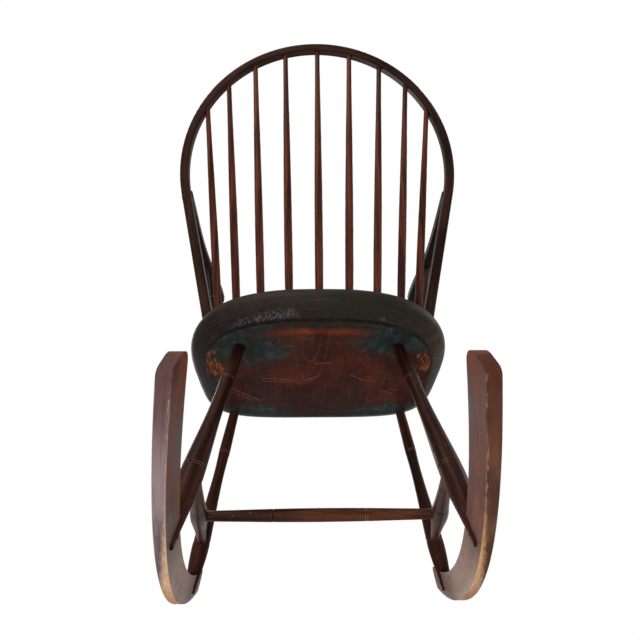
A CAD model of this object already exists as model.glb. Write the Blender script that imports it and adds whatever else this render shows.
# %% [markdown]
# # A bow-back Windsor rocking armchair
#
# Around 1800 a country chairmaker turned the legs of this chair to look like bamboo, shaved nine
# slender spindles, bent an ash bow round a form and drove everything into one thick plank seat. It was
# painted dark, sat in for two centuries and worn back to the wood wherever shoes, hands and floors
# touched it.
#
# The exact solids of the chair are loaded first. This lesson gives them their surfaces: paint, grain,
# scratches and wear, all made from nodes, without a single image.

import math
from collections import namedtuple

import bpy
import numpy as np
from mathutils import Matrix, Vector


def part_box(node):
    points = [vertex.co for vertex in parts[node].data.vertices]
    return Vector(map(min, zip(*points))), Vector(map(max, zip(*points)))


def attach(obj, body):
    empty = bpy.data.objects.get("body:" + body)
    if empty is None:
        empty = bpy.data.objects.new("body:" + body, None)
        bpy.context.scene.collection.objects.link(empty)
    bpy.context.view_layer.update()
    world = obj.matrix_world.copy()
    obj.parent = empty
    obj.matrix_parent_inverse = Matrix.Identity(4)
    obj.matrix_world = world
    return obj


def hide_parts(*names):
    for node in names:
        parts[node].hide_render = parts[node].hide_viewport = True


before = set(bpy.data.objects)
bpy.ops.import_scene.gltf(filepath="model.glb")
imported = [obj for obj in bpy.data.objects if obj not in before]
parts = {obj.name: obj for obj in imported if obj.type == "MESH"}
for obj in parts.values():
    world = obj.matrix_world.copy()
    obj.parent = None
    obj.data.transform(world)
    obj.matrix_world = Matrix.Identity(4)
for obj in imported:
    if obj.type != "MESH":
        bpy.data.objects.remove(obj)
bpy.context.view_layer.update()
print("pieces loaded:", len(parts))

# %% [markdown]
# ## Sums written as sums
#
# A worn finish is mostly arithmetic: this mask times that noise, one minus the other. So a small class
# wraps a socket and lets Python's own operators add the Math nodes. Every other kind of node comes
# from one method that takes its type, its settings and what goes into its sockets.

# %% A socket that can be added, multiplied and compared
class Signal:
    """One socket of a node tree; arithmetic on it adds the Math nodes."""

    def __init__(self, tree, socket):
        self.tree, self.socket = tree, socket

    @classmethod
    def node(cls, tree, kind, settings=None, values=None, out=0):
        """Add one node: first its settings, then the values or links of its sockets."""
        made = tree.nodes.new(kind)
        for name, setting in (settings or {}).items():
            setattr(made, name, setting)
        for name, value in (values or {}).items():
            if isinstance(value, Signal):
                tree.links.new(value.socket, made.inputs[name])
            else:
                made.inputs[name].default_value = value
        return cls(tree, made.outputs[out])

    def output(self, name):
        """Another output of the same node."""
        return Signal(self.tree, self.socket.node.outputs[name])

    def math(self, operation, *terms):
        """One Math node: the name of its sum, then what goes into it."""
        return Signal.node(self.tree, "ShaderNodeMath", {"operation": operation},
                           dict(enumerate(terms)))

    def __add__(self, other):
        return self.math("ADD", self, other)

    def __sub__(self, other):
        return self.math("SUBTRACT", self, other)

    def __rsub__(self, other):
        return self.math("SUBTRACT", other, self)

    def __mul__(self, other):
        return self.math("MULTIPLY", self, other)

    def __truediv__(self, other):
        return self.math("DIVIDE", self, other)

    def __pow__(self, power):
        return self.math("POWER", self, power)

    def __abs__(self):
        return self.math("ABSOLUTE", self)

    __radd__ = __add__
    __rmul__ = __mul__


print("a socket now takes + - * / ** and abs")

# %% [markdown]
# The moves that every finish needs get short names here, so that the finishes below read as recipes.
# Wood needs four noises at once, all drawn out along the grain: a slow drift of tone, ragged patches,
# long streaks and fine fibres.

# %% Colours, steps and places
def light_values(*tone):
    """A tone as a painter's chart gives it, red, green and blue up to 255, in light values."""
    shares = [value / 255 for value in tone]
    return [share / 12.92 if share < 0.04 else ((share + 0.055) / 1.055) ** 2.4
            for share in shares] + [1]


def ease(signal, low, high):
    """0 below low, 1 above high, a soft step between; it falls instead where low is the larger."""
    limits = {"Value": signal, "From Min": low, "From Max": high}
    return Signal.node(signal.tree, "ShaderNodeMapRange", {"interpolation_type": "SMOOTHSTEP"}, limits)


def lay_over(amount, under, over):
    """One colour over another, by an amount from 0 to 1; either may be a plain tone."""
    under, over = [colour if isinstance(colour, Signal) else light_values(*colour)
                   for colour in (under, over)]
    return Signal.node(amount.tree, "ShaderNodeMix", {"data_type": "RGBA"},
                       {0: amount, 6: under, 7: over}, 2)


def mixed(amount, first, second):
    """One number turning into another, by an amount from 0 to 1."""
    return first * (1 - amount) + second * amount


def chair_place(tree):
    """Where a point lies in the chair, in metres."""
    return Signal.node(tree, "ShaderNodeTexCoord", out="Object")


def split(place):
    """The three numbers of a place."""
    x = Signal.node(place.tree, "ShaderNodeSeparateXYZ", None, {"Vector": place}, "X")
    return x, x.output("Y"), x.output("Z")


def joined(tree, x=0.0, y=0.0, z=0.0):
    """A place made of three numbers."""
    return Signal.node(tree, "ShaderNodeCombineXYZ", None, {"X": x, "Y": y, "Z": z})


def vectors(operation, *places, out=0):
    """One sum with whole places or directions."""
    return Signal.node(places[0].tree, "ShaderNodeVectorMath", {"operation": operation},
                       dict(enumerate(places)), out)


def dot(first, second):
    """How far two directions agree, or how far a place lies along a direction."""
    return vectors("DOT_PRODUCT", first, second, out="Value")


def facing(tree):
    """The true direction of the surface."""
    return Signal.node(tree, "ShaderNodeNewGeometry", out="Normal")


def largest_of(signals):
    """The largest of several signals, place by place."""
    top = signals[0]
    for signal in signals[1:]:
        top = top.math("MAXIMUM", top, signal)
    return top


def stretched(place, across, along, shift=0.0):
    """The same place with its two cross directions and its length scaled, to draw grain out."""
    return vectors("MULTIPLY_ADD", place, (across, across, along), (shift, shift * 1.7, shift * 2.3))


def clouds(place, across, along=None, detail=2.0, shift=0.0, roughness=0.5):
    """Soft noise; the two scales count its features in a metre, across and along the grain."""
    where = stretched(place, across, across if along is None else along, shift)
    return Signal.node(place.tree, "ShaderNodeTexNoise", None,
                       {"Vector": where, "Scale": 1.0, "Detail": detail, "Roughness": roughness})


Wood = namedtuple("Wood", "drift ragged streaks fibres")


def noise_of_wood(grain, drift, ragged, streaks, fibres):
    """The four noises of one piece of wood, each from its two scales and a shift."""
    kinds = ((drift, 3, 0.5), (ragged, 4, 0.62), (streaks, 3, 0.6), (fibres, 2, 0.5))
    return Wood(*(clouds(grain, across, along, detail, shift, roughness)
                  for (across, along, shift), detail, roughness in kinds))


print("red-brown in light values:", [round(value, 3) for value in light_values(66, 35, 23)])

# %% [markdown]
# Grain runs along a piece, whichever way it leans. Its points tell its directions: they spread
# furthest along its length and least across its thickness. A Mapping node then measures places
# that way.

# %% The directions of a piece
def axes_of(piece):
    """The middle of a piece, the way it is longest and the way it is thinnest."""
    points = np.array([vertex.co for vertex in parts[piece].data.vertices])
    middle = points.mean(axis=0)
    directions = np.linalg.svd(points - middle, full_matrices=False)[2]
    long_way = Vector(directions[0])
    if max(long_way, key=abs) < 0:
        long_way = -long_way
    thin_way = Vector(directions[2])
    return Vector(middle), long_way, thin_way


def measured(tree, origin, turn):
    """Places measured from an origin, along turned directions."""
    return Signal.node(tree, "ShaderNodeMapping", {"vector_type": "TEXTURE"},
                       {"Vector": chair_place(tree), "Location": origin, "Rotation": turn})


def in_piece(tree, middle, long_way, thin_way):
    """Places measured in the piece itself: its length is Z, its thin direction is Y."""
    side = thin_way.cross(long_way).normalized()
    return measured(tree, middle, Matrix((side, thin_way, long_way)).transposed().to_euler())


print("the seat's middle:", [round(value, 4) for value in axes_of("seat")[0]])

# %% [markdown]
# ## How an old finish is built up
#
# Real wear has an order. Bare wood comes first, with its long fibres. Stain and paint lie over it,
# thicker in some places than in others. Then hands and floors take the paint away again, first at the
# sharp arrises, and small knocks leave pale scratches.
#
# The arrises are found by comparing the true direction of the surface with the direction it would have
# if its edges were rounded off: the two only differ close to an edge. The paint has dried out, so it
# mirrors very little.

# %% Layers of an old finish
PAINT_SHEEN = 0.035
BEVEL_SAMPLES = 6


def dress(piece, material):
    """Put a finish on one of the solid pieces."""
    parts[piece].data.materials.clear()
    parts[piece].data.materials.append(material)


def new_finish(name):
    """An empty material and its node tree."""
    material = bpy.data.materials.new(name)
    material.use_nodes = True
    material.node_tree.nodes.clear()
    return material, material.node_tree


def show(shader, output="ShaderNodeOutputMaterial"):
    """Send a shader to the surface of its material, or of the world."""
    target = shader.tree.nodes.new(output)
    shader.tree.links.new(shader.socket, target.inputs["Surface"])


def arrises(tree, radius, low, high):
    """1 on the edges of a piece, 0 away from them."""
    rounded = Signal.node(tree, "ShaderNodeBevel", {"samples": BEVEL_SAMPLES}, {"Radius": radius})
    return ease(1 - dot(rounded, facing(tree)), low, high)


def facing_up(tree):
    """1 where a surface looks upwards, 0 on its sides and below."""
    return ease(split(facing(tree))[2], 0.60, 0.85)


def scratches(flat, length, spacing, width, turn, seed, share=0.5):
    """Fine straight scratches, all lying about the same way, kept to a share of the surface."""
    leaning = Signal.node(flat.tree, "ShaderNodeVectorRotate", {"rotation_type": "Z_AXIS"},
                          {"Vector": flat, "Angle": turn})
    drawn = vectors("MULTIPLY_ADD", leaning, (1 / length, 1 / spacing, 1 / spacing), (seed, seed, seed))
    lines = Signal.node(flat.tree, "ShaderNodeTexVoronoi", {"feature": "DISTANCE_TO_EDGE"},
                        {"Vector": drawn, "Scale": 1.0}, "Distance")
    here = ease(clouds(flat, 38, shift=seed + 3, detail=3), share, share + 0.08)
    return ease(lines, width / spacing, 0.0) * here


def close_finish(material, colour, roughness, height, depth=0.0004, rounding=0.0):
    """Join the colour, the gloss and the relief to the shader."""
    tree = material.node_tree
    values = {"Height": height, "Strength": 1.0, "Distance": depth}
    if rounding:
        values["Normal"] = Signal.node(tree, "ShaderNodeBevel", {"samples": BEVEL_SAMPLES},
                                       {"Radius": rounding})
    relief = Signal.node(tree, "ShaderNodeBump", None, values)
    shader = Signal.node(tree, "ShaderNodeBsdfPrincipled", None,
                         {"Base Color": colour, "Roughness": roughness, "Normal": relief,
                          "Specular IOR Level": PAINT_SHEEN})
    show(shader)
    return material


print("layers ready: arrises, scratches, close_finish")

# %% [markdown]
# Most pieces share one recipe, in the order of the real work: two tones of stain, thin places, dark
# fibres, knocks and rubbed patches down to bare wood, then dirt in the grooves. Rubbed wood is also
# a little rougher and lower.

# %% One recipe for painted wood
def aged(material, place, tones, wear, grooves=None, seed=0.0, specks=0.70, gloss=(0.34, 0.52)):
    """Stain, thin places, fibres and wear over one piece of wood.

    tones holds the dark and the light stain, the thin paint and the bare wood.
    wear is 1 where hands or floors have been, grooves is 1 where dirt has settled.
    """
    dark, light, thin, bare = tones
    drift = clouds(place, 30, 6, detail=3, shift=seed)
    streaks = clouds(place, 210, 7, detail=3, shift=seed + 5, roughness=0.6)
    fibres = clouds(place, 950, 24, detail=2, shift=seed + 9)
    base = lay_over(ease(drift + 0.35 * (streaks - 0.5), 0.38, 0.64), dark, light)
    base = lay_over(ease(streaks, 0.50, 0.72) * 0.38, base, thin)
    base = lay_over(ease(fibres, 0.56, 0.40) * 0.45, base, (14, 8, 6))
    dents = clouds(place, 240, 150, detail=3, shift=seed + 13, roughness=0.6)
    knocks = ease(dents, specks, specks + 0.04)
    patches = ease(clouds(place, 70, 16, detail=4, shift=seed + 17, roughness=0.65), 0.40, 0.62)
    taken = wear * patches + knocks * 0.6
    taken = taken.math("MINIMUM", taken, 1.0)
    base = lay_over(taken, base, bare)
    if grooves:
        base = lay_over(grooves * 0.85, base, (12, 7, 5))
    roughness = gloss[0] + (gloss[1] - gloss[0]) * ease(drift, 0.35, 0.7) + 0.16 * taken
    height = 0.25 * fibres + 0.5 * streaks - 0.35 * taken
    return close_finish(material, base, roughness, height)


print("recipe ready for the painted pieces")

# %% [markdown]
# ## Turned legs, posts and stretchers
#
# The turner cut two narrow rings round each leg to copy the joints of bamboo. Dirt sits in them, and
# every polishing has rubbed their lips a little paler. They are real grooves in the solid, so the
# finish only has to colour them at their known distance down the leg.

# %% A finish for any turned piece
TURNED_TONES = ((30, 13, 8), (51, 24, 16), (70, 35, 23), (124, 88, 66))
RING_LIP = 0.0017


def dress_turned(word, piece, tones, rings=(), origin=None, seed=0.0):
    """Finish a turned bar; rings are distances from an origin along its length."""
    material, tree = new_finish(f"{word}_{piece}")
    middle, long_way, thin_way = axes_of(piece)
    thin_way = (thin_way - long_way * thin_way.dot(long_way)).normalized()
    place = in_piece(tree, middle, long_way, thin_way)
    along = split(place)[2]
    start = 0.0 if origin is None else (origin - middle).dot(long_way)
    wear, grooves = arrises(tree, 0.001, 0.05, 0.30) * 0.25, None
    for ring in rings:
        aside = abs(along - (start + ring))
        wear = wear + ease(abs(aside - RING_LIP), 0.0008, 0.0003) * 0.5
        groove = ease(aside, 0.0012, 0.0006)
        grooves = grooves + groove if grooves else groove
    dress(piece, aged(material, place, tones, wear, grooves, seed))


print("turned finish ready")

# %% [markdown]
# The rings of a leg are measured from the seat, where the leg starts, along the leg's own direction.
# Those of the cross stretcher are measured from its middle.

# %% Give the legs, posts and stretchers their finish
SEAT_THICKNESS = 0.046
SEAT_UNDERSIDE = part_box("seat")[0].z
SEAT_TOP = SEAT_UNDERSIDE + SEAT_THICKNESS
SIDES = {"left": 1, "right": -1}
LEG_TOPS = {f"leg_{end}_{side}": Vector((sign * x, y, SEAT_UNDERSIDE))
            for end, x, y in (("rear", 0.146, 0.0173), ("front", 0.190, -0.2617))
            for side, sign in SIDES.items()}
LEG_RINGS = (-0.090, -0.276)
CROSS_RINGS = (-0.082, 0.082)
STRETCHER_TONES = ((46, 24, 16), (76, 42, 28), (98, 62, 44), (140, 106, 82))


for number, (piece, top) in enumerate(LEG_TOPS.items()):
    dress_turned("painted", piece, TURNED_TONES, LEG_RINGS, top, seed=3.1 * number)

for number, side in enumerate(SIDES):
    dress_turned("rubbed", f"side_stretcher_{side}", STRETCHER_TONES, seed=20 + number)
    for piece in (f"arm_post_{side}", f"arm_spindle_{side}"):
        dress_turned("painted", piece, TURNED_TONES, seed=30 + number)

cross_middle = axes_of("cross_stretcher")[0] * Vector((0, 1, 1))
dress_turned("rubbed", "cross_stretcher", STRETCHER_TONES, CROSS_RINGS, cross_middle, seed=41)
print("turned pieces dressed:", len(LEG_TOPS) + 7)

# %% [markdown]
# ## The seat
#
# One plank of pine or poplar, sawn flat from the log, its grain running front to back. The rim and the
# wide bevel kept their dark paint. Underneath lies a thin red-brown stain, with remains of an older
# blue-green coat. On top the sitter has polished the two hollows.
#
# The pattern is laid out by a share: 0 in the middle of the flat underside, 1 at its edge. The same
# rounded outline that the maker sawed gives that share, so the bands follow the rim.

# %% Where things lie on the seat
UNDER_HALF_WIDTH = 0.222
UNDER_BACK, UNDER_FRONT = 0.219, 0.161
WIDEST_Y = -0.1237
BACK_SQUARENESS, FRONT_SQUARENESS = 2.7, 4.4


def seat_share(x, y):
    """How far a place lies from the middle of the underside towards its edge."""
    wide = abs(x) / UNDER_HALF_WIDTH
    deep = y - WIDEST_Y
    front, back = [(wide ** power + abs(deep / reach) ** power) ** (1 / power) for power, reach in
                   ((FRONT_SQUARENESS, UNDER_FRONT), (BACK_SQUARENESS, UNDER_BACK))]
    return mixed(ease(deep, -0.001, 0.001), front, back)


def near(x, y, centre, radii, turn=0.0):
    """1 at a centre, falling to 0 at an oval round it."""
    across = (x - centre[0]) * math.cos(turn) + (y - centre[1]) * math.sin(turn)
    along = (y - centre[1]) * math.cos(turn) - (x - centre[0]) * math.sin(turn)
    reach = ((across / radii[0]) ** 2 + (along / radii[1]) ** 2) ** 0.5
    return 1 - reach


def drawn_line(x, y, start, end, width):
    """A straight scratch between two places, tapering off at its ends."""
    run = Vector(end) - Vector(start)
    length = run.length
    run.normalize()
    along = ((x - start[0]) * run.x + (y - start[1]) * run.y) / length
    aside = abs((y - start[1]) * run.x - (x - start[0]) * run.y)
    taper = ease(along, 0.0, 0.15) * ease(along, 1.0, 0.8)
    return ease(aside, width, width * 0.3) * taper


print("the underside is", round(UNDER_BACK + UNDER_FRONT, 3), "m deep")

# %% [markdown]
# The underside starts with its stain. A plank sawn flat shows its yearly rings as long nested ovals,
# so the arches are the sine of a distance to the middle of such ovals, made to wander a little. Near
# the rear edge a band of the stain stayed warm and bright.

# %% Stain and arches of the underside
ARCH_PHASE = 13.0


def red_stain(x, y, share, grain, wood):
    """Two tones of stain, dark streaks, faint arches and the warm band."""
    tone = ease(wood.drift + 0.3 * (wood.streaks - 0.5), 0.36, 0.62)
    colour = lay_over(tone, (39, 13, 9), (66, 25, 15))
    colour = lay_over(ease(wood.streaks, 0.54, 0.72) * 0.4, colour, (25, 11, 8))

    wander = clouds(grain, 9, 4, shift=12) - 0.5
    across = ((x - 0.017) + 0.016 * wander) / 0.030
    along = (y - 0.06 + 0.04 * wander) / 0.16
    arch = (across ** 2 + along ** 2) ** 0.5
    phase = arch * ARCH_PHASE + 3.0 * wander
    rings = phase.math("SINE", phase)
    arches = ease(rings, 0.72, 0.98) * ease(arch, 1.6, 0.9) * ease(wood.ragged, 0.36, 0.56)
    colour = lay_over(arches * 0.30, colour, (100, 54, 32))

    band = ease(abs(share - 0.87 + (wood.ragged - 0.5) * 0.03), 0.07, 0.01) * ease(y, -0.02, 0.06)
    band = band * ease(abs(x + 0.005), 0.13, 0.04) * (0.45 + 0.55 * ease(wood.drift, 0.35, 0.55))
    return lay_over(band * 0.60, colour, (116, 50, 25))


print("arches within one oval:", round(ARCH_PHASE / math.tau, 1))

# %% [markdown]
# The older coat survives where nothing rubs: round the sockets of the legs and along the edges. Soft
# ovals mark those places, noise breaks up their borders, and old dirt darkens a wider ring round them.

# %% What is left of the old coat
OLD_COAT_PLACES = (
    ((0.150, 0.012), (0.120, 0.075)),
    ((0.100, 0.000), (0.060, 0.040)),
    ((-0.135, 0.030), (0.095, 0.055)),
    ((0.222, -0.100), (0.028, 0.090)),
    ((0.175, -0.255), (0.120, 0.045)),
    ((-0.180, -0.255), (0.110, 0.045)),
)


def old_coat(x, y, share, wood, colour):
    """The colour with its dark edges and the blue-green remains, and where these lie."""
    sockets = largest_of([near(x, y, *place) for place in OLD_COAT_PLACES])
    rim_band = ease(share, 0.86, 1.02) * ease(y, -0.05, 0.05) + ease(y, -0.230, -0.275)
    rear_edge = ease(share + (wood.ragged - 0.5) * 0.06, 0.90, 0.955) * ease(y, 0.00, 0.06)
    front_edge = ease(y + (wood.ragged - 0.5) * 0.05, -0.238, -0.268)
    colour = lay_over(largest_of([rear_edge, front_edge]) * 0.80, colour, (26, 29, 25))
    smoke = ease(sockets + rim_band * 0.3 + (wood.drift - 0.5) * 0.8, -0.45, 0.25)
    colour = lay_over(smoke * 0.45, colour, (26, 21, 18))
    remains = ease(sockets + rim_band * 0.35 + (wood.ragged - 0.5) * 0.85, 0.06, 0.56)
    depth = ease(wood.ragged + 0.5 * (wood.drift - 0.5), 0.38, 0.70)
    blue_green = lay_over(depth, (20, 29, 27), (31, 52, 54))
    kept = remains * (0.35 + 0.65 * ease(wood.fibres, 0.28, 0.50)) * 0.92
    return lay_over(kept, colour, blue_green), remains


print("places with the old coat:", len(OLD_COAT_PLACES))

# %% [markdown]
# Last come the accidents. At both sides the edge has split and left torn, bright wood. The long
# scratches are placed one by one; the fine ones are the straight, thin borders of stretched Voronoi
# cells. A few pits show as pale points.

# %% Chips and scratches of the underside
TORN_PLACES = (((0.204, -0.055), (0.018, 0.052), 0.1), ((-0.208, -0.040), (0.020, 0.034), -0.2))
LONG_SCRATCHES = (
    ((0.187, -0.140), (0.120, -0.210), 0.0012),
    ((0.192, -0.155), (0.137, -0.206), 0.0010),
    ((-0.062, -0.088), (-0.100, -0.117), 0.0012),
    ((-0.098, -0.112), (-0.118, -0.117), 0.0010),
    ((-0.130, -0.155), (-0.162, -0.172), 0.0011),
    ((-0.150, -0.150), (-0.172, -0.160), 0.0010),
    ((0.122, -0.100), (0.038, -0.112), 0.0012),
    ((0.118, -0.113), (0.030, -0.121), 0.0010),
    ((0.038, -0.120), (-0.008, -0.088), 0.0010),
    ((0.010, -0.045), (-0.028, -0.040), 0.0009),
)


def chips_and_scratches(x, y, grain, wood, colour):
    """The colour with its accidents, and the masks of the chips and of the long scratches."""
    torn_places = largest_of([near(x, y, *place) for place in TORN_PLACES])
    chips = ease(torn_places + (wood.ragged - 0.5) * 2.8, 0.05, 0.30)
    torn = ease(wood.fibres + 0.6 * (wood.ragged - 0.5), 0.40, 0.60)
    torn = lay_over(torn, (56, 27, 15), (122, 64, 32))
    torn = lay_over(ease(wood.streaks, 0.52, 0.58) * 0.85, torn, (16, 10, 8))
    colour = lay_over(chips, colour, torn)

    flat_place = joined(x.tree, x, y)
    long_ones = largest_of([drawn_line(x, y, *scratch) for scratch in LONG_SCRATCHES])
    fine = largest_of([scratches(flat_place, 0.060, 0.020, 0.00035, 0.35, 21, 0.52),
                       scratches(flat_place, 0.045, 0.016, 0.00030, -0.60, 27, 0.54),
                       scratches(flat_place, 0.070, 0.024, 0.00030, 1.30, 35, 0.56)])
    marks = long_ones * ease(wood.fibres, 0.35, 0.5) * 0.65 + fine * 0.20
    colour = lay_over(marks, colour, (162, 98, 66))
    pits = ease(clouds(grain, 300, 260, detail=2, shift=40), 0.735, 0.765)
    return lay_over(pits * 0.7, colour, (190, 140, 108)), chips, long_ones


def stained_underside(x, y, grain):
    """The whole flat underside: its colour and its relief."""
    wood = noise_of_wood(grain, (16, 8, 2), (60, 40, 4), (170, 8, 6), (800, 22, 8))
    share = seat_share(x, y)
    colour, remains = old_coat(x, y, share, wood, red_stain(x, y, share, grain, wood))
    colour, chips, long_ones = chips_and_scratches(x, y, grain, wood, colour)
    relief = 0.25 * wood.fibres + 0.5 * wood.streaks + 0.5 * wood.ragged
    return colour, relief - 0.6 * long_ones - 0.9 * chips + 0.35 * remains


print("scratches placed one by one:", len(LONG_SCRATCHES))

# %% [markdown]
# Everything above the flat is dark paint. It is browner to the sitter's left and greener to the right,
# faint arcs follow the rim where a brush or a cloth went round, and one frosty scuff lies on the bevel
# behind. Below the rim the left side is darker, and the right side is rubbed where hands have lifted
# the chair.

# %% Dark paint of the bevel and the rim
RIM_SHARE = 0.93


def dark_paint(x, y, height, grain, wood):
    """The colour of the paint, and the masks of its arcs and of its scuff."""
    tint = lay_over(ease(x, 0.14, 0.02), (25, 17, 18), (31, 28, 22))
    tone = ease(wood.drift + 0.4 * (wood.ragged - 0.5), 0.42, 0.68)
    body = lay_over(tone, tint, (37, 31, 28))
    body = lay_over(ease(wood.streaks, 0.54, 0.72) * 0.35, body, (20, 15, 13))
    round_rim = seat_share(x * RIM_SHARE, (y - WIDEST_Y) * RIM_SHARE + WIDEST_Y)
    arcs = clouds(joined(x.tree, round_rim * 0.4, x * 0.05, height), 240, 60, detail=3, shift=62)
    body = lay_over(ease(arcs, 0.56, 0.68) * 0.35 * ease(height, 0.03, 0.02), body, (58, 50, 47))
    scuff = near(x, y, (0.100, 0.098), (0.080, 0.018), -0.34) + (wood.ragged - 0.5) * 1.4
    scuff = ease(scuff, 0.10, 0.55) * ease(height, 0.0008, 0.003) * ease(height, 0.014, 0.005)
    frost = clouds(grain, 260, 200, detail=3, shift=66)
    body = lay_over(scuff * ease(frost, 0.40, 0.62) * 0.48, body, (86, 85, 90))
    below_rim = ease(height, 0.036, 0.028)
    body = lay_over(ease(x, 0.10, 0.23) * below_rim * 0.65, body, (19, 13, 14))
    handled = ease(x, -0.18, -0.25) * below_rim * ease(wood.ragged, 0.30, 0.60)
    body = lay_over(handled * 0.45, body, (82, 66, 52))
    edge_chips = ease(wood.ragged + 0.3 * (wood.fibres - 0.5), 0.60, 0.66) * ease(height, 0.009, 0.001)
    return lay_over(edge_chips * 0.6, body, (84, 60, 46)), arcs, scuff


print("paint of the rim ready")

# %% [markdown]
# On top, four ovals stand for where a sitter rubs: the two hollows, the place behind them and the
# front edge. Noise eats into them, so the paint ends in ragged islands. The wood that comes through is
# smooth from wear and crossed by fine scratches.

# %% Polished top of the seat
POLISHED_PLACES = (((0.072, -0.165), (0.15, 0.14)), ((-0.072, -0.165), (0.15, 0.14)),
                   ((0, -0.05), (0.17, 0.11)))
FRONT_EDGE_PLACE = ((0, -0.27), (0.24, 0.035))


def polished_top(x, y, height, grain, wood, body):
    """The paint rubbed through on top, and where it is."""
    tree = x.tree
    polished = [ease(near(x, y, *place), -0.05, 0.75) for place in POLISHED_PLACES]
    polished.append(ease(near(x, y, *FRONT_EDGE_PLACE), -0.4, 0.6) * 0.9)
    rubbed = largest_of(polished) * 0.55 + (wood.ragged - 0.5) * 1.1 + (wood.streaks - 0.5) * 0.8
    rubbed = ease(rubbed, 0.26, 0.60) * ease(height, 0.024, 0.030)
    bare = lay_over(ease(wood.fibres, 0.4, 0.6), (58, 34, 23), (96, 60, 40))
    body = lay_over(rubbed * 0.85, body, bare)
    top_scratches = scratches(joined(tree, x, y), 0.080, 0.018, 0.0003, 1.2, 44) * facing_up(tree)
    body = lay_over(top_scratches * 0.35, body, (140, 100, 72))
    edges = arrises(tree, 0.003, 0.03, 0.18)
    edges = edges * ease(clouds(grain, 40, 30, detail=4, shift=31), 0.44, 0.62)
    return lay_over(edges * 0.30, body, (104, 78, 58)), rubbed


print("places polished by the sitter:", len(POLISHED_PLACES) + 1)

# %% [markdown]
# The two coats meet just above the flat underside, where the bevel starts. A thin dark line of dirt
# covers the join.

# %% Give the seat its finish
BEVEL_START = 0.0012


def seat_finish():
    material, tree = new_finish("seat_paint_and_stain")
    x, y, z = split(chair_place(tree))
    height = z - SEAT_UNDERSIDE
    grain = joined(tree, x, height, y)
    under, under_relief = stained_underside(x, y, grain)
    wood = noise_of_wood(grain, (12, 9, 50), (60, 46, 53), (160, 12, 56), (800, 40, 59))
    body, arcs, scuff = dark_paint(x, y, height, grain, wood)
    body, rubbed = polished_top(x, y, height, grain, wood, body)

    flat = ease(height, BEVEL_START, BEVEL_START / 3)
    colour = lay_over(flat, body, under)
    line = ease(abs(height - BEVEL_START), 0.0014, 0.0003)
    colour = lay_over(line * ease(wood.ragged, 0.30, 0.50) * 0.85, colour, (16, 11, 9))
    roughness = 0.42 + 0.12 * ease(wood.drift, 0.35, 0.7) + 0.12 * flat - 0.06 * scuff - 0.08 * rubbed
    relief = 0.2 * wood.fibres + 0.4 * wood.streaks + 0.35 * wood.ragged + 0.5 * arcs
    return close_finish(material, colour, roughness, mixed(flat, relief, under_relief), depth=0.0005)


dress("seat", seat_finish())
print("seat dressed; its underside lies at", round(SEAT_UNDERSIDE, 4))

# %% [markdown]
# ## The bow
#
# An ash rod, shaved to a flat section, steamed and bent round a form. Its grain follows the bend, so
# the finish needs a place measured round the hoop: an angle times the radius over the round top, and
# plain height below it. ARCTAN2 and a square root unroll the hoop into a straight stick. The two sides
# read their noise metres apart, so they don't mirror each other.
#
# The centre of the hoop lies up the leaning back from the feet of the bow. The chair was drawn from
# a line across its seat, and SETBACK is where that line lies in the frame.

# %% Finish of the bow
SETBACK = -0.083746
BOW_FOOT_BACK = 0.0800
BOW_CENTRE_RISE = 0.327
BOW_LEAN = math.radians(27.5)
BOW_RADIUS = 0.267
SIDE_SPLAY = 0.17
NOISE_APART = 3.0
UP_THE_BACK = Vector((0, math.sin(BOW_LEAN), math.cos(BOW_LEAN)))
BOW_CENTRE = Vector((0, BOW_FOOT_BACK + SETBACK, SEAT_TOP)) + BOW_CENTRE_RISE * UP_THE_BACK
BOW_TONES = ((27, 15, 10), (46, 28, 20), (66, 35, 23), (120, 86, 62))


def bow_finish():
    material, tree = new_finish("painted_bow")
    x, depth, rise = split(measured(tree, BOW_CENTRE, (-BOW_LEAN, 0, 0)))
    turn = rise.math("ARCTAN2", rise, abs(x))
    radius = (x * x + rise * rise) ** 0.5
    over = ease(rise, -0.001, 0.001)
    across = mixed(over, abs(x) - SIDE_SPLAY * rise, radius)
    along = mixed(over, rise, turn * BOW_RADIUS)
    grain = joined(tree, across + x.math("SIGN", x) * NOISE_APART, depth, along)
    wear = arrises(tree, 0.0025, 0.03, 0.15) * 0.30
    return aged(material, grain, BOW_TONES, wear, seed=50, specks=0.72)


dress("bow", bow_finish())
print("bow centre:", [round(value, 4) for value in BOW_CENTRE])

# %% [markdown]
# ## Arms
#
# Arms are worn by hands, not by shoes: the paint goes first along the upper edges and over the
# rounded hand, and what is left is dark and polished.

# %% Finish of the arms
ARM_TONES = ((12, 7, 5), (28, 19, 14), (46, 29, 21), (112, 78, 56))
HAND_STARTS, HAND_FULL = -0.05, -0.17


def arm_finish(side, seed):
    material, tree = new_finish(f"handled_arm_{side}")
    hand = ease(split(chair_place(tree))[1], HAND_STARTS, HAND_FULL)
    wear = arrises(tree, 0.004, 0.02, 0.12) * (0.2 + 0.6 * hand)
    wear = wear + facing_up(tree) * (0.12 + 0.75 * hand)
    place = in_piece(tree, *axes_of(f"arm_{side}"))
    return aged(material, place, ARM_TONES, wear, seed=seed, gloss=(0.30, 0.46))


dress("arm_left", arm_finish("left", 60))
dress("arm_right", arm_finish("right", 64))
print("arms dressed")

# %% [markdown]
# ## Rockers
#
# Two thin curved boards, sawn on one arc. Their grain runs along them, so a place is measured as an
# angle round the far centre of that arc, a rise above the running edge, and a distance from the
# middle of the board's thickness.

# %% Places on a rocker
ARC_RADIUS = 1.2
ARC_CENTRE = (0.013 + SETBACK, 1.1998)
BOARD_DEPTH, BOARD_HALF = 0.045, 0.007


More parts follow.
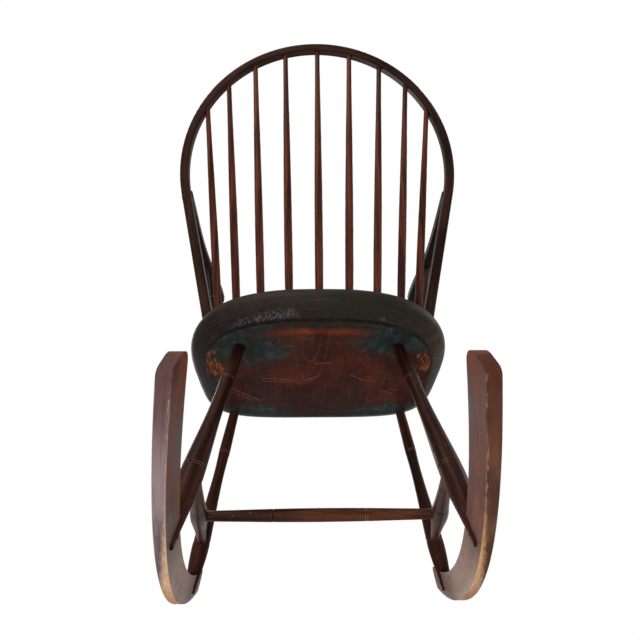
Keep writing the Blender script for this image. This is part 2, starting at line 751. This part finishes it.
def board_middle(piece):
    """The middle of a rocker's thickness and the way across it, towards the sitter's left."""
    points = np.array([vertex.co for vertex in parts[piece].data.vertices])
    side_face = max(parts[piece].data.polygons, key=lambda polygon: polygon.area)
    across = Vector(side_face.normal)
    if across.x < 0:
        across = -across
    reach = points @ np.array(across)
    return across * float(reach.max() + reach.min()) / 2, across


def board_place(place, middle, thin_way):
    """How far along the arc a place lies, its rise, and how far off the board's middle it is."""
    y, z = split(place)[1:]
    y, z = y - ARC_CENTRE[0], ARC_CENTRE[1] - z
    along = y.math("ARCTAN2", y, z) * ARC_RADIUS
    rise = ARC_RADIUS - (y * y + z * z) ** 0.5
    return along, rise, dot(vectors("SUBTRACT", place, middle), thin_way)


print("thickness of a rocker:", 2 * BOARD_HALF)

# %% [markdown]
# The faces keep a brown stain that turns redder towards the tail, where nothing rubs, and are dusty
# round the middle. The running edge has rolled over floors for two centuries. It is dry and greyish,
# and bare, almost golden, where the chair stands most of the time. The bare wood reaches furthest
# along the inner arris.

# %% Faces and running edge of a rocker
FACE_TONES = {"left": ((74, 43, 29), (102, 67, 48)), "right": ((80, 41, 28), (108, 64, 47))}
SOLE_TONES = {
    "left": ((88, 74, 80), (116, 102, 104), (214, 178, 144)),
    "right": ((64, 38, 29), (88, 59, 46), (190, 148, 106)),
}
INNER_LEAN = 17.0


def board_face(along, rise, wood, tones):
    """Brown stain, redder at the tail and dusty round the middle."""
    face = lay_over(ease(wood.drift + 0.3 * (wood.streaks - 0.5), 0.40, 0.62), *tones)
    redder = lay_over(ease(wood.drift, 0.4, 0.6), (62, 27, 15), (96, 46, 27))
    face = lay_over(ease(along, 0.26, 0.44) * 0.85, face, redder)
    face = lay_over(ease(wood.streaks, 0.55, 0.75) * 0.35, face, (56, 33, 24))
    face = lay_over(ease(wood.fibres, 0.58, 0.42) * 0.35, face, (28, 16, 12))
    dusty = ease(abs(along - 0.02), 0.24, 0.05) * 0.6
    dusty = dusty + ease(rise, 0.018, 0.0) * ease(along, 0.30, 0.10) * 0.3
    return lay_over(dusty * ease(wood.ragged, 0.15, 0.50), face, (154, 133, 120))


def running_edge(along, inner, wood, specks, tones):
    """Dry stain with a dark tail, and bare wood where the chair stands."""
    dark, light, bare = tones
    sole = lay_over(ease(wood.drift + 0.4 * (wood.ragged - 0.5), 0.36, 0.62), dark, light)
    sole = lay_over(ease(wood.streaks, 0.5, 0.7) * 0.4, sole, (58, 40, 34))
    tail = ease(along, 0.26, 0.44) * ease(along, 0.36, 0.50)
    sole = lay_over(tail * 0.7, sole, (58, 30, 20))
    reach = along - INNER_LEAN * inner + 0.12 * (wood.ragged - 0.5) + 0.22 * (specks - 0.5)
    standing = ease(reach, 0.265, 0.090) * ease(along, -0.34, -0.20)
    standing = standing * (0.78 + 0.22 * ease(specks, 0.44, 0.56))
    bare = lay_over(ease(along, 0.20, 0.04) * 0.75, bare, (236, 204, 176))
    return lay_over(standing * (0.50 + 0.50 * ease(wood.fibres, 0.30, 0.46)), sole, bare)


print("rocker tones:", ", ".join(FACE_TONES))

# %% [markdown]
# Last come the arrises, pale where they are rubbed, and chipped on the inner side of the board only.

# %% Give the rockers their finish
ARRIS_ROUNDING = 0.0012


def worn_arris(rise, aside, inner, wood, specks):
    """Where the long edges of a board are rubbed, and where they are chipped."""
    edge = rise.math("MINIMUM", rise, BOARD_DEPTH - rise) + (BOARD_HALF - abs(aside))
    rubbed = ease(edge, 0.0009, 0.0003) * ease(wood.ragged, 0.40, 0.60)
    chipped = ease(edge + 0.010 * (0.5 - specks), 0.0012, 0.0004) * ease(specks, 0.52, 0.58)
    return rubbed * 0.28, chipped * ease(inner, -0.001, 0.001) * 0.28


def rocker_finish(side, seed):
    material, tree = new_finish(f"floor_worn_rocker_{side}")
    middle, thin_way = board_middle(f"rocker_{side}")
    along, rise, aside = board_place(chair_place(tree), middle, thin_way)
    inner = aside * -SIDES[side]
    grain = joined(tree, aside, rise, along)
    wood = noise_of_wood(grain, (24, 9, seed + 2), (90, 26, seed), (260, 7, seed + 4),
                         (900, 20, seed + 7))
    specks = clouds(grain, 480, 85, detail=3, shift=seed + 11, roughness=0.6)
    running = ease(abs(dot(facing(tree), thin_way)), 0.75, 0.55) * ease(rise, 0.024, 0.020)
    face = board_face(along, rise, wood, FACE_TONES[side])
    sole = running_edge(along, inner, wood, specks, SOLE_TONES[side])
    rubbed, chipped = worn_arris(rise, aside, inner, wood, specks)
    colour = lay_over(running, face, sole)
    colour = lay_over(largest_of([rubbed, chipped]), colour, (178, 142, 118))
    roughness = 0.44 + 0.12 * ease(wood.drift, 0.35, 0.7) + 0.16 * running
    relief = 0.3 * wood.fibres + 0.6 * wood.streaks + 0.4 * wood.ragged * running - 0.5 * chipped
    return close_finish(material, colour, roughness, relief, depth=0.0005, rounding=ARRIS_ROUNDING)


dress("rocker_left", rocker_finish("left", 70))
dress("rocker_right", rocker_finish("right", 77))
print("rockers dressed")

# %% [markdown]
# ## Wedges and pegs
#
# The wedges that spread the tenons and the pegs through the feet are hardwood seen end on: dark pores
# on a paler ground.

# %% Finish of wedges and pegs
def end_grain_finish(name, ground, seed):
    material, tree = new_finish(name)
    place = chair_place(tree)
    pores = clouds(place, 1400, detail=2, shift=seed)
    drift = clouds(place, 160, detail=3, shift=seed + 3)
    colour = lay_over(ease(drift, 0.35, 0.7), ground, (128, 88, 58))
    colour = lay_over(ease(pores, 0.56, 0.44) * 0.6, colour, (34, 20, 14))
    return close_finish(material, colour, 0.52 + 0.1 * drift, pores, depth=0.0002)


for piece in ("bow_wedges", "leg_wedges"):
    dress(piece, end_grain_finish(f"end_grain_{piece}", (92, 58, 36), 80))
dress("rocker_pegs", end_grain_finish("end_grain_pegs", (78, 48, 30), 84))
print("wedges and pegs dressed")

# %% [markdown]
# ## Nine shaved spindles
#
# The spindles all follow one rule: round in the seat, a slow swelling low down, and a long taper to the
# bow. They were shaved, not turned, so each is slightly lumpy. That is work for Geometry Nodes: one
# tree sweeps a line between two points with a circle whose radius comes from a curve, then nudges it
# by noise for the marks of the shave. Nine modifiers with different ends give nine spindles, and each
# result is kept as a plain mesh.
#
# The inputs come first: the two ends, the sizes a maker would name, and the finish.

# %% Sizes and profile of a spindle
SIZES = {"Foot radius": 0.0070, "Swell radius": 0.0076, "Tip radius": 0.0049, "Tenon": 0.028}
INPUTS = {"Base": (0, 0, 0), "Top": (0, 0, 1), **SIZES, "Shave marks": 0.00035, "Seed": 0.0}
PROFILE = ((0.22, 1.0), (0.60, 0.593), (0.95, 0.0))


def spindle_inputs(tree):
    """Name what goes into the tree and what comes out, and hand on what is given."""
    add = tree.interface.new_socket
    for name, value in INPUTS.items():
        kind = "NodeSocketVector" if isinstance(value, tuple) else "NodeSocketFloat"
        add(name=name, in_out="INPUT", socket_type=kind).default_value = value
    add(name="Finish", in_out="INPUT", socket_type="NodeSocketMaterial")
    add(name="Spindle", in_out="OUTPUT", socket_type="NodeSocketGeometry")
    return Signal.node(tree, "NodeGroupInput")


def spindle_radius(given, share):
    """The radius at a share of the length: plain in the seat, swelling, then thinning."""
    foot, swell, tip = [SIZES[f"{place} radius"] for place in ("Foot", "Swell", "Tip")]
    taper = Signal.node(given.tree, "ShaderNodeFloatCurve", None, {"Value": share})
    mapping = taper.socket.node.mapping
    points = mapping.curves[0].points
    points[0].location = (0.0, (foot - tip) / (swell - tip))
    points[1].location = (1.0, 0.0)
    for stop in PROFILE:
        points.new(*stop)
    mapping.update()
    thin = given.output("Tip radius")
    free = thin + taper * (given.output("Swell radius") - thin)
    return mixed(ease(share, 0.0, 0.004), given.output("Foot radius"), free)


print("a spindle is thickest at", PROFILE[0][0], "of its free length")

# %% [markdown]
# Before the line is swept, each of its points stores how far it lies from the same point of a bar that
# stands upright. Taken off again afterwards, that leaves the place within the spindle itself, so the
# grain runs along every spindle.

# %% The spindle tree
SPINDLE_SIDES = 28
SPINDLE_STEPS = 90
LUMPS = (190, 190, 34)


def stored(geometry, name, kind, value):
    """The same geometry, with a value kept at every point under a name."""
    return Signal.node(geometry.tree, "GeometryNodeStoreNamedAttribute",
                       {"data_type": kind, "domain": "POINT"},
                       {"Geometry": geometry, "Name": name, "Value": value})


def recalled(tree, name, kind):
    """A value that was stored under a name."""
    return Signal.node(tree, "GeometryNodeInputNamedAttribute", {"data_type": kind}, {"Name": name})


def shaved(bar, here, given):
    """The bar pushed in and out a little, except at its two ends."""
    tree = bar.tree
    lumps = Signal.node(tree, "ShaderNodeTexNoise", {"noise_dimensions": "4D"},
                        {"Vector": vectors("MULTIPLY", here, LUMPS), "W": given.output("Seed"),
                         "Scale": 1.0, "Detail": 1.0})
    share = recalled(tree, "share", "FLOAT")
    free = ease(share, 0.01, 0.05) * ease(share, 0.985, 0.95)
    push = (lumps - 0.5) * given.output("Shave marks") * 2.0 * free
    outward = Signal.node(tree, "GeometryNodeInputNormal")
    offset = Signal.node(tree, "ShaderNodeVectorMath", {"operation": "SCALE"},
                         {0: outward, "Scale": push})
    return Signal.node(tree, "GeometryNodeSetPosition", None, {"Geometry": bar, "Offset": offset})


def spindle_tree():
    """One shaved spindle between two points."""
    tree = bpy.data.node_groups.new("shaved_spindle", "GeometryNodeTree")
    given = spindle_inputs(tree)
    line = Signal.node(tree, "GeometryNodeCurvePrimitiveLine", None,
                       {"Start": given.output("Base"), "End": given.output("Top")})
    steps = Signal.node(tree, "GeometryNodeResampleCurve", None,
                        {"Curve": line, "Count": SPINDLE_STEPS})
    walked = Signal.node(tree, "GeometryNodeSplineParameter", out="Length")
    whole = Signal.node(tree, "GeometryNodeSplineLength")
    tenon = given.output("Tenon")
    share = (walked - tenon) / (whole - tenon)
    here = Signal.node(tree, "GeometryNodeInputPosition")
    axis = vectors("SUBTRACT", here, joined(tree, z=walked))
    line = stored(stored(steps, "share", "FLOAT", share), "axis", "FLOAT_VECTOR", axis)
    ring = Signal.node(tree, "GeometryNodeCurvePrimitiveCircle", None,
                       {"Resolution": SPINDLE_SIDES, "Radius": 1.0})
    bar = Signal.node(tree, "GeometryNodeCurveToMesh", None,
                      {"Curve": line, "Profile Curve": ring, "Scale": spindle_radius(given, share),
                       "Fill Caps": True})
    within = vectors("SUBTRACT", here, recalled(tree, "axis", "FLOAT_VECTOR"))
    bar = shaved(stored(bar, "grain_place", "FLOAT_VECTOR", within), here, given)
    smooth = Signal.node(tree, "GeometryNodeSetShadeSmooth", None, {"Geometry": bar})
    real = Signal.node(tree, "GeometryNodeRealizeInstances", None, {"Geometry": smooth})
    done = Signal.node(tree, "GeometryNodeSetMaterial", None,
                       {"Geometry": real, "Material": given.output("Finish")})
    result = tree.nodes.new("NodeGroupOutput")
    tree.links.new(done.socket, result.inputs["Spindle"])
    return tree


SPINDLE_TREE = spindle_tree()
print("spindle tree nodes:", len(SPINDLE_TREE.nodes))

# %% [markdown]
# The fan of the spindles follows from the chair: stepped along a curve just inside the rim of the seat,
# evenly stepped round the bow. The same two rules give all nine pairs of ends here.

# %% Where each spindle starts and ends
SPINDLES = 9
ROW_HALF_WIDTH, ROW_TURN = 0.188, 50
CURVE_HALF_WIDTH, CURVE_BACK, CURVE_START = 0.216, 0.224, -0.040
BOW_TURN = 57.5


def spindle_ends(index):
    """The place in the rim of the seat and the place in the bow."""
    share = 2 * index / (SPINDLES - 1) - 1
    x = ROW_HALF_WIDTH * math.sin(math.radians(ROW_TURN * share)) / math.sin(math.radians(ROW_TURN))
    curve = (1 - abs(x / CURVE_HALF_WIDTH) ** BACK_SQUARENESS) ** (1 / BACK_SQUARENESS)
    turn = math.radians(BOW_TURN * share)
    across = Vector((BOW_RADIUS * math.sin(turn), 0, 0))
    top = BOW_CENTRE + across + UP_THE_BACK * BOW_RADIUS * math.cos(turn)
    return Vector((x, CURVE_BACK * curve + CURVE_START + SETBACK, SEAT_TOP)), top


print("the first spindle stands at", [round(value, 3) for value in spindle_ends(0)[0]])

# %% [markdown]
# The finish is the shared recipe once more, a little redder, and rubbed more towards the top. Each
# spindle reads its noise in a place of its own.

# %% Shave and finish the nine spindles
SPINDLE_TONES = ((44, 21, 15), (82, 41, 28), (104, 56, 38), (132, 84, 58))
BOW_ENTRY = 0.0025


def spindle_finish():
    material, tree = new_finish("red_brown_spindle")
    within = Signal.node(tree, "ShaderNodeAttribute", {"attribute_name": "grain_place"}, out="Vector")
    x, _, height = split(chair_place(tree))
    place = vectors("ADD", within, joined(tree, x * 4, x * 2))
    wear = ease(clouds(place, 90, 9, detail=3, shift=8), 0.55, 0.75) * 0.25 * ease(height, 0.5, 0.8)
    return aged(material, place, SPINDLE_TONES, wear, seed=90, specks=0.73)


def new_object(name, data):
    """A new object, linked into the scene."""
    made = bpy.data.objects.new(name, data)
    bpy.context.scene.collection.objects.link(made)
    return made


finish = spindle_finish()
sockets = {item.name: item.identifier for item in SPINDLE_TREE.interface.items_tree
           if item.in_out == "INPUT"}
for index in range(SPINDLES):
    base, top = spindle_ends(index)
    direction = (top - base).normalized()
    blank = new_object(f"shaved_spindle_{index + 1}", bpy.data.meshes.new("blank"))
    shave = blank.modifiers.new("shave", "NODES")
    shave.node_group = SPINDLE_TREE
    shave[sockets["Base"]] = base - direction * SIZES["Tenon"]
    shave[sockets["Top"]] = top + direction * BOW_ENTRY
    shave[sockets["Seed"]] = float(index)
    shave[sockets["Finish"]] = finish
    evaluated = blank.evaluated_get(bpy.context.evaluated_depsgraph_get())
    blank_mesh = blank.data
    shaped = bpy.data.meshes.new_from_object(evaluated)
    blank.modifiers.remove(shave)
    blank.data = shaped
    bpy.data.meshes.remove(blank_mesh)
    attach(blank, "root")
    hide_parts(f"spindle_{index + 1}")
print("spindles:", SPINDLES, "points in the last:", len(shaped.vertices),
      "materials:", len(shaped.materials))

# %% [markdown]
# ## Floor, light and white ground
#
# The chair is looked at from a little under the floor, so the pale floor lets light and sight through
# from below. It casts no shadow and fades out before its edges.

# %% Floor
FLOOR_SIZE = 6
FADE_STARTS, FADE_ENDS = 1.6, 2.6


def floor_finish():
    material, tree = new_finish("pale_floor")
    place = chair_place(tree)
    reach = vectors("LENGTH", place, out="Value")
    speckle = clouds(place, 260, detail=2)
    tint = lay_over(ease(speckle, 0.3, 0.7), (238, 236, 232), (244, 242, 239))
    solid = Signal.node(tree, "ShaderNodeBsdfPrincipled", None, {"Base Color": tint, "Roughness": 0.7})
    clear = Signal.node(tree, "ShaderNodeBsdfTransparent")
    under = Signal.node(tree, "ShaderNodeNewGeometry", out="Backfacing")
    away = largest_of([under, ease(reach, FADE_STARTS, FADE_ENDS)])
    show(Signal.node(tree, "ShaderNodeMixShader", None, {0: away, 1: solid, 2: clear}))
    return material


bpy.ops.mesh.primitive_plane_add(size=FLOOR_SIZE, location=(0, 0, 0))
floor = bpy.context.object
floor.name = "floor"
floor.data.materials.append(floor_finish())
floor.visible_shadow = False
print("floor laid")

# %% [markdown]
# Big soft lamps keep the colours near what was written: one high behind, one at the side, one in
# front and one low down for the underside of the seat. The world looks white but gives only ROOM_LIGHT
# of that as light, so the shadows keep their depth.

# %% Lamps and the white ground behind everything
LAMPS = {
    "high_lamp": ((0.9, 1.7, 2.3), (0, 0, 0.5), 1.4, 62),
    "side_lamp": ((-2.2, -0.3, 1.4), (0, 0, 0.5), 1.2, 26),
    "front_lamp": ((1.2, -2.2, 1.5), (0, 0, 0.5), 1.4, 34),
    "low_lamp": ((0.5, 1.6, -0.7), (0, 0, 0.35), 1.2, 29),
}
ROOM_LIGHT = 0.30

for name, (place, target, size, power) in LAMPS.items():
    lamp = bpy.data.lights.new(name, "AREA")
    lamp.shape, lamp.size, lamp.energy = "DISK", size, power
    holder = new_object(name, lamp)
    holder.location = place
    holder.rotation_euler = (Vector(target) - Vector(place)).to_track_quat("-Z", "Y").to_euler()

world = bpy.data.worlds.new("white_ground")
bpy.context.scene.world = world
world.use_nodes = True
ground = world.node_tree
ground.nodes.clear()
ray = Signal.node(ground, "ShaderNodeLightPath", out="Is Camera Ray")
seen = largest_of([ray, ray.output("Is Glossy Ray"), ray.output("Is Transmission Ray")])
strength = ROOM_LIGHT + (1 - ROOM_LIGHT) * seen
backdrop = Signal.node(ground, "ShaderNodeBackground", None,
                       {"Color": (1, 1, 1, 1), "Strength": strength})
show(backdrop, "ShaderNodeOutputWorld")
bpy.context.scene.view_settings.view_transform = "Standard"
print("lamps:", ", ".join(LAMPS))

# %% [markdown]
# ## The camera
#
# It stands low behind the chair and looks up and forward, so the underside of the seat fills the
# middle and the tails of the rockers come towards the viewer. Its three directions are built
# from a heading, a pitch and a slight roll.

# %% Camera
CAMERA_PLACE = (0.0167, 0.7968, -0.0962)
HEADING, PITCH, ROLL = 0.0244, 0.6137, -0.0167
PICTURE_PIXELS, FOCAL_PIXELS = 640, 500.0
SENSOR = 36.0
LENS_SHIFT = (0.0002, 0.0033)

look = Vector((-math.sin(HEADING) * math.cos(PITCH), -math.cos(HEADING) * math.cos(PITCH),
               math.sin(PITCH)))
level_right = Vector((-math.cos(HEADING), math.sin(HEADING), 0))
level_up = level_right.cross(look)
right = math.cos(ROLL) * level_right + math.sin(ROLL) * level_up
up = math.cos(ROLL) * level_up - math.sin(ROLL) * level_right

lens = bpy.data.cameras.new("low_rear_view")
lens.sensor_width = SENSOR
lens.lens = SENSOR * FOCAL_PIXELS / PICTURE_PIXELS
lens.shift_x, lens.shift_y = LENS_SHIFT
lens.clip_start = 0.01
camera = new_object("low_rear_view", lens)
turned = Matrix((right, up, -look)).transposed().to_4x4()
camera.matrix_world = Matrix.Translation(CAMERA_PLACE) @ turned
bpy.context.scene.camera = camera
print("camera looks", [round(value, 3) for value in look])
